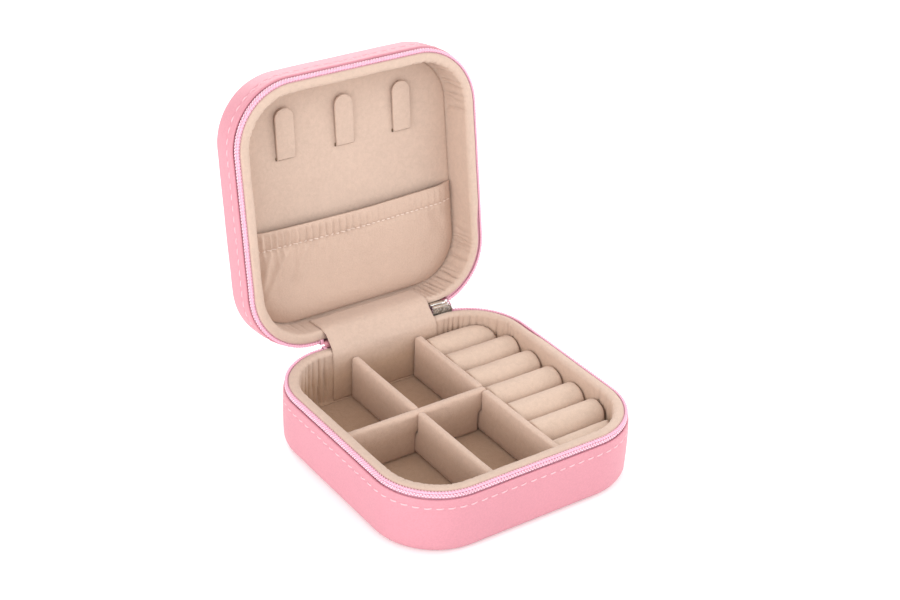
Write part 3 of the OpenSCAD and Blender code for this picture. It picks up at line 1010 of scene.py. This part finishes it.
o = dress(pocket(), "pocket", "lid", "lining", "lid_pocket", "pocket_elastic")
PK_STITCH, PK_PITCH = 1.45, 2.15
parts = ([], [])
x = 1.4 - PK_HALF
while x < PK_HALF - 2.5:
    pts = []
    for k in range(7):
        f = k / 6
        xx = x + PK_STITCH * f
        y = PK_MOUTH + BAND_W + mouth_sag(xx) * (1 - BAND_W / (PK_END - PK_MOUTH)) ** 2 + 0.12 * (f - 0.5)
        pts.append(Vector((xx, y, PK_Z + pocket_height(xx, y) + 0.20 - 0.40 * abs(2 * f - 1) ** 3)))
    add_thread(parts, pts, 0.22)
    x += PK_PITCH + rnd.uniform(-0.12, 0.12)
dress(make("pocket_stitching", *parts, True), "beige_thread", "lid", "lining")

# ==== hinge
SIDE = 180 - math.degrees(OPEN)          # direction of the lid's back, degrees
MIDWAY = 180 - math.degrees(OPEN) / 2    # halfway between the base's back and the lid's
away = Vector((math.sin(OPEN), math.cos(OPEN)))


def across(name, profile, half, nx, move):
    """A closed (y, z) outline drawn across the hinge's width, ends capped."""
    verts = []
    for i in range(nx + 1):
        x = half * (2 * i / nx - 1)
        for q, (y, z) in enumerate(profile):
            dy, dz = move(x, q, y, z)
            verts.append((x, y + dy, z + dz))
    return make(name, verts, skin(nx + 1, len(profile)))


def fold(o, reach):
    """Bakes the piece's place into its mesh; reach is not used."""
    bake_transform(o)


def up_base(inset):
    return [(HY - inset, BH - BAND + BAND * i / 8) for i in range(9)]


def along_lid(y, z):
    return [(y + BAND * i / 8 * away.x, z + BAND * i / 8 * away.y) for i in range(9)]


# leather leg up the base's back, round the fold and out along the lid's back
inner = up_base(LEATHER) + arc(HY, BH, LEATHER, 180, SIDE, 12)[1:-1]
inner += along_lid(*on_arc(HY, BH, LEATHER, SIDE))
outer = up_base(0) + along_lid(HY, BH)[1:]
o = across("hinge_leather_fold", inner + outer[::-1], HW - 0.02, 40,
           lambda x, q, y, z: (0.03 * wob(x, y, z, 4, 1.0), 0.03 * wob(x, y, z, 4, 2.0)))
dress(o, "leather", None, "leather", "hinge_leather")
fold(o, 2.2)

# lining strip over both rims
RIM_R = 1.92                # radius of the strip's way round each rim
STRIP_FOOT = 4.2            # where it starts, above the underside
STRIP_END = 9.0             # how far it runs on inside the lid
base_rim = (HY - WALL + 1.3, BH - 1.4)
_, *lid_rim = OPENED @ Vector((0, HY - WALL + 1.3, BH + 1.4))


def resample(points, n):
    """n + 1 evenly spaced points along a line."""
    run = [0.0]
    for p, q in zip(points, points[1:]):
        run.append(run[-1] + math.dist(p, q))
    out = []
    for i in range(n + 1):
        t = run[-1] * i / n
        k = min(max(j for j in range(len(run)) if run[j] <= t + 1e-9), len(run) - 2)
        f = (t - run[k]) / (run[k + 1] - run[k])
        out.append(Vector(points[k]).lerp(Vector(points[k + 1]), f))
    return out


def strip_line(r):
    """Outline of the strip's (y, z) run at radius r round both rims, its corners relaxed."""
    pts = [(base_rim[0] - r, STRIP_FOOT + (base_rim[1] - STRIP_FOOT) * i / 24) for i in range(24)]
    pts += arc(*base_rim, r, 180, MIDWAY, 8)
    a, b = Vector(on_arc(*base_rim, r, MIDWAY)), Vector(on_arc(*lid_rim, r, MIDWAY))
    pts += [tuple(a.lerp(b, i / 12)) for i in range(1, 12)]
    pts += arc(*lid_rim, r, MIDWAY, SIDE, 8)
    e = Vector(on_arc(*lid_rim, r, SIDE))
    pts += [tuple(e + away * (STRIP_END * i / 14)) for i in range(1, 15)]
    even = resample(pts, 72)
    for _ in range(26):
        middle = [(p + q * 2 + n) / 4 for p, q, n in zip(even, even[1:], even[2:])]
        even = [even[0]] + middle + [even[-1]]
    return [tuple(p) for p in even]


face = strip_line(RIM_R)
count = len(face)
touch = []                  # the strip's other face, half a millimetre off
for i, p in enumerate(face):
    t = (Vector(face[min(i + 1, count - 1)]) - Vector(face[max(i - 1, 0)])).normalized()
    touch.append(tuple(Vector(p) + 0.5 * Vector((t.y, -t.x))))
length = sum(math.dist(face[i], face[i + 1]) for i in range(count - 1))


def strip_move(x, q, y, z):
    """Soft stretch marks across the strip."""
    f = (q if q < count else 2 * count - 1 - q) / (count - 1)
    gap = math.sin(math.pi * smoothstep(0.45, 0.80, f)) if 0.45 < f < 0.80 else 0.0
    d = 0.12 * wob(x, 40 * f, 0, 6, 4.0) + 0.22 * wob(x / 6, 60 * f, 0, 2.6, 7.0) * (0.3 + gap)
    return on_arc(0, 0, d, MIDWAY)


o = across("hinge_lining_strip", face + touch[::-1], HW - 0.1, 60, strip_move)
mid_y, mid_z = (base_rim[0] + lid_rim[0]) / 2, (base_rim[1] + lid_rim[1]) / 2
for v in o.data.vertices:                      # stretched, it draws in halfway between the rims
    w = math.exp(-(((v.co.y / MM - mid_y) ** 2 + (v.co.z / MM - mid_z) ** 2) / 12.0))
    v.co.x *= 1 - 0.045 * w
# the strip takes the lining with painted shade, darker lower down in the base
dress(o, "shaded_lining", None, "lining", "hinge_lining")
fold(o, 5.0)

# ==== slider and stops
slider_at = (Matrix.Translation((HX - R, HY - R, BH)) @ Matrix.Rotation(math.radians(-3.2), 4, "Z")
             @ Matrix.Translation((0, R, 0)))
o = cad_copy("zip_slider_body", "slider_body", 0.16, "metal", "zip_slider", "slider_metal")
o.data.materials.append(M["relief"])
for p in o.data.polygons:
    q = slider_at.inverted() @ (p.center / MM)
    if q.y < -2.6 and p.normal.y < -0.8:
        p.material_index = 1


def bar(parts, x0, x1, ya, yb, z):
    """A rounded flange along the slider, from ya to yb across it."""
    half, r = 0.95 / 2, 0.36
    section = []
    for y, up, a0 in ((yb - r, 1, 0), (ya + r, 1, 90), (ya + r, -1, 180), (yb - r, -1, 270)):
        section += arc(y, z + up * (half - r), r, a0, a0 + 90, 5)
    yc = (ya + yb) / 2
    ends = [(x0, 0.6), (x0 + 0.08, 0.85), (x0 + 0.25, 1.0), (x1 - 0.5, 1.0), (x1 - 0.15, 0.8), (x1, 0.45)]
    parts[1].extend(skin(len(ends), len(section), len(parts[0])))
    for x, f in ends:
        parts[0].extend(slider_at @ Vector((x, yc + (y - yc) * f, z + (zz - z) * f)) for y, zz in section)


parts = ([], [])
for z in (-2.55, 2.55):
    bar(parts, -4.15, 2.4, -2.8, -1.55, z)
    bar(parts, -4.15, 2.2, -0.9, 0.7, z)
dress(make("zip_slider_rolled_edges", *parts), "metal", "zip_slider", "slider_metal")
cad_copy("zip_slider_bridge", "slider_bridge", 0.14, "metal", "zip_slider", "slider_metal")
cad_copy("zip_slider_pull", "slider_pull", 0.16, "metal", "zip_pull", "slider_metal")
cad_copy("base_zip_stop", "base_top_stop", 0.12, "coil", "base", "zip")
cad_copy("lid_zip_stop", "lid_top_stop", 0.12, "coil", "lid", "zip")

# the tape's short twisted end between the slider and the lid's coil
TAPE_TURNS = 2.5
a, b = Vector((31.85, 48.9, 25.45)), Vector((31.75, 51.2, 26.75))
across_run = (b - a).normalized().cross(Vector((1, 0, 0))).normalized()
pts = []
for i in range(61):
    t = i / 60
    turn = 2 * math.pi * TAPE_TURNS * t
    middle = a.lerp(b, t) + 0.25 * math.sin(math.pi * t) * Vector((0, 0, 1))
    pts.append(middle + 0.42 * math.cos(turn) * across_run + Vector((0.34 * math.sin(turn), 0, 0)))
o = make("zip_tape_end", *thread(pts, 0.25))
dress(o, "tape", None, "zip", "zip_lead_in")
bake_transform(o)

# hidden inner boards keep their CAD shape and get a board finish
for n in ("base_board", "base_floor_board", "lid_board", "lid_top_board", "ring_pad_board"):
    me = frame["nodes"][n].data
    me.materials.clear()
    me.materials.append(M["board"])

# ==== floor, light, camera
FAR = 3000
corners = ((-FAR, -FAR), (FAR, -FAR), (FAR, FAR), (-FAR, FAR))
fl = make("floor", [(x, y, -0.02) for x, y in corners], [(0, 1, 2, 3)])
fm = spotted_material("floor_pale", (0.90, 0.90, 0.90), 0.8, 60, 0.99, 1.01, 0.0)
shader = fm.node_tree.nodes["Principled BSDF"]
shader.inputs["Emission Color"].default_value = (1, 1, 1, 1)
shader.inputs["Emission Strength"].default_value = 0.12
fl.data.materials.append(fm)


def area(name, place, size, power):
    """A white area light that looks at the case."""
    light = bpy.data.lights.new(name, "AREA")
    light.shape = "RECTANGLE"
    light.size, light.size_y = size
    light.energy = power
    o = bpy.data.objects.new(name, light)
    bpy.context.scene.collection.objects.link(o)
    o.location = place
    o.rotation_euler = (Vector((0, 0, 0.04)) - Vector(place)).to_track_quat("-Z", "Y").to_euler()


area("left", (-0.95, -0.25, 0.40), (0.6, 0.6), 5.5)
area("front", (-0.10, -1.05, 0.45), (0.8, 0.5), 2.6)
area("right", (0.95, -0.30, 0.45), (0.6, 0.6), 4.7)
area("back", (0.30, 0.95, 0.55), (0.8, 0.5), 7.0)
w = bpy.data.worlds.new("studio")
bpy.context.scene.world = w
w.use_nodes = True
w.node_tree.nodes["Background"].inputs["Color"].default_value = (1, 1, 1, 1)
w.node_tree.nodes["Background"].inputs["Strength"].default_value = 1.0

# camera fitted to the photo: its direction, roll, distance and the point it looks at, in metres
AZ, EL, ROLL = math.radians(-35.77), math.radians(29.82), 0.04
DISTANCE = 0.62065
LOOKS_AT = Vector((0, 0.00514, 0.059))
back = Vector((math.sin(AZ) * math.cos(EL), -math.cos(AZ) * math.cos(EL), math.sin(EL)))
right = Vector((0, 0, 1)).cross(back).normalized()
up = back.cross(right)
rolled_right = math.cos(ROLL) * right + math.sin(ROLL) * up
rolled_up = math.cos(ROLL) * up - math.sin(ROLL) * right
cam = bpy.data.cameras.new("camera")
cam.lens = 72.96
cam.sensor_width = 36.0
cam.clip_start = 0.01
co = bpy.data.objects.new("camera", cam)
bpy.context.scene.collection.objects.link(co)
turned = Matrix((rolled_right, rolled_up, back)).transposed()
co.matrix_world = Matrix.Translation(LOOKS_AT + back * DISTANCE) @ turned.to_4x4()
bpy.context.scene.camera = co
bpy.context.scene.view_settings.view_transform = "Standard"
